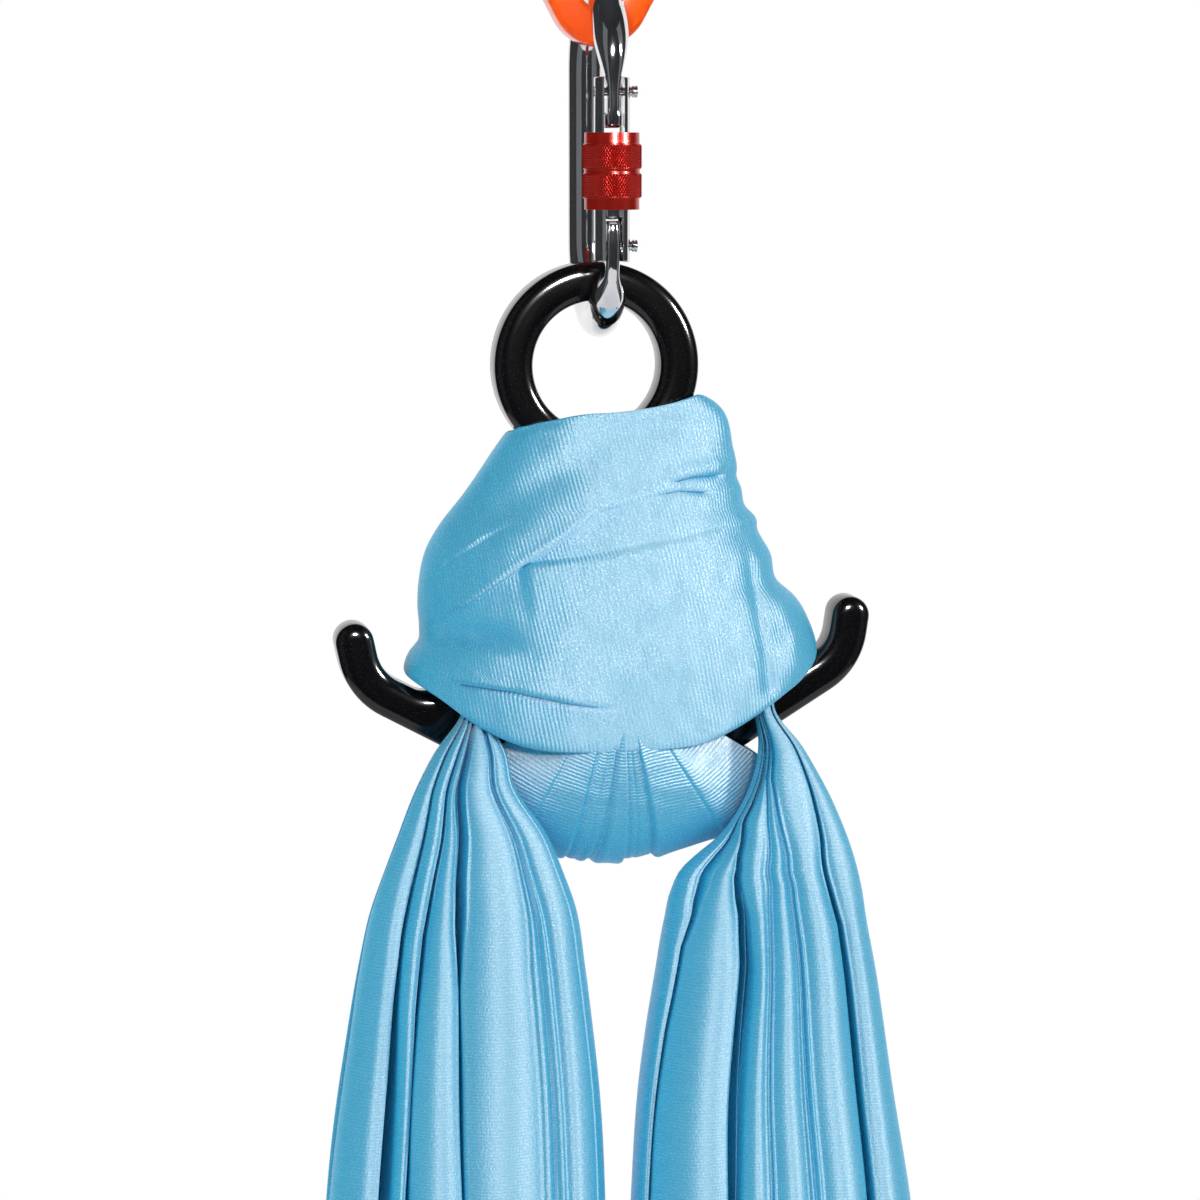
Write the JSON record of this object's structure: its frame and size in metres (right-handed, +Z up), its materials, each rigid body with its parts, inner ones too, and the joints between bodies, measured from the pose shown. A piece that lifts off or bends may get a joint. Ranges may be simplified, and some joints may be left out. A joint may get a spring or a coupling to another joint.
{
  "type": "aerial yoga hammock",
  "caption": "Fabric hammock gathered on a horned rescue eight, hung from a screw-lock carabiner and a ball-bearing swivel eye.",
  "frame": {"origin": "centre of the bar seat in the top of the swivel's upper eye, where the bar of a ceiling hanger lies", "axes": "+Z up along the swivel's axle, -Y the front with the carabiner's gate, +X the viewer's right"},
  "size_m": [0.2072, 0.29, 1.7684],
  "materials": {
    "orange_anodised": "glossy orange anodised",
    "red_anodised": "red anodised, knurled bands",
    "chromed_steel": "polished",
    "bright_steel": "ground",
    "bronze": "machined bronze",
    "white_nylon": "natural nylon",
    "black_powder_coat": "glossy black powder coat on forged aluminium",
    "sky_blue_tricot": "shiny two-way-stretch nylon tricot"
  },
  "bodies": {
    "swivel_top": {"swivel_upper_eye": "orange_anodised", "axle_bush": "bronze", "bearing_race_lower": "bright_steel"},
    "bearing": {"bearing_cage": "bronze", "bearing_ball_1": "bright_steel", "bearing_ball_2": "bright_steel", "bearing_ball_3": "bright_steel", "bearing_ball_4": "bright_steel", "bearing_ball_5": "bright_steel", "bearing_ball_6": "bright_steel", "bearing_ball_7": "bright_steel", "bearing_ball_8": "bright_steel"},
    "swivel_bottom": {"swivel_lower_eye": "orange_anodised", "swivel_axle": "bright_steel", "axle_nut": "bright_steel", "axle_cotter_pin": "bright_steel", "swivel_washer": "white_nylon", "bearing_race_upper": "bright_steel"},
    "carabiner": {"carabiner_frame": "chromed_steel", "gate_hinge_pin": "chromed_steel"},
    "gate": {"carabiner_gate": "chromed_steel", "gate_latch_pin": "chromed_steel", "gate_spring": "bright_steel"},
    "plunger": {"gate_plunger": "bright_steel"},
    "sleeve_carrier": {"sleeve_friction_ring": "white_nylon"},
    "sleeve": {"lock_sleeve": "red_anodised"},
    "descender": {"rescue_eight": "black_powder_coat", "fabric_wrap": "sky_blue_tricot", "fabric_belly": "sky_blue_tricot", "fabric_tail_left": "sky_blue_tricot", "fabric_tail_right": "sky_blue_tricot", "fabric_sling": "sky_blue_tricot"}
  },
  "joints": [
    {"name": "swivel_spin", "type": "hinge", "parent": "swivel_top", "child": "swivel_bottom", "pos_m": [0, 0, -0.0428], "axis": [0, 0, 1], "continuous": true},
    {"name": "cage_spin", "type": "hinge", "parent": "swivel_top", "child": "bearing", "pos_m": [0, 0, -0.0428], "axis": [0, 0, 1], "continuous": true},
    {"name": "carabiner_swing", "type": "hinge", "parent": "swivel_bottom", "child": "carabiner", "pos_m": [0, 0, -0.08633], "axis": [0, 1, 0], "range_deg": [-45, 45]},
    {"name": "gate_open", "type": "hinge", "parent": "carabiner", "child": "gate", "pos_m": [0, -0.023, -0.15863], "axis": [-1, 0, 0], "range_deg": [0, 24], "stiffness_Nm_per_rad": 0.3, "springref_deg": -28.65},
    {"name": "plunger_press", "type": "slide", "parent": "gate", "child": "plunger", "axis": [0, 0, 1], "range_m": [0, 0.0006], "deforming": ["gate_spring"]},
    {"name": "sleeve_travel", "type": "slide", "parent": "gate", "child": "sleeve_carrier", "axis": [0, 0, 1], "range_m": [-0.007, 0.009]},
    {"name": "sleeve_turn", "type": "hinge", "parent": "sleeve_carrier", "child": "sleeve", "pos_m": [0, -0.023, -0.12713], "axis": [0, 0, 1], "range_deg": [-840, 1080]},
    {"name": "descender_swing", "type": "hinge", "parent": "carabiner", "child": "descender", "pos_m": [0, 0, -0.18033], "axis": [0, 1, 0], "range_deg": [-35, 35]}
  ],
  "couplings": [
    {"joint": "cage_spin", "follows": "swivel_spin", "ratio": 0.5},
    {"joint": "plunger_press", "follows": "gate_open", "m_per_rad": 0.0012},
    {"joint": "sleeve_turn", "follows": "sleeve_travel", "rad_per_m": 2094.4}
  ]
}
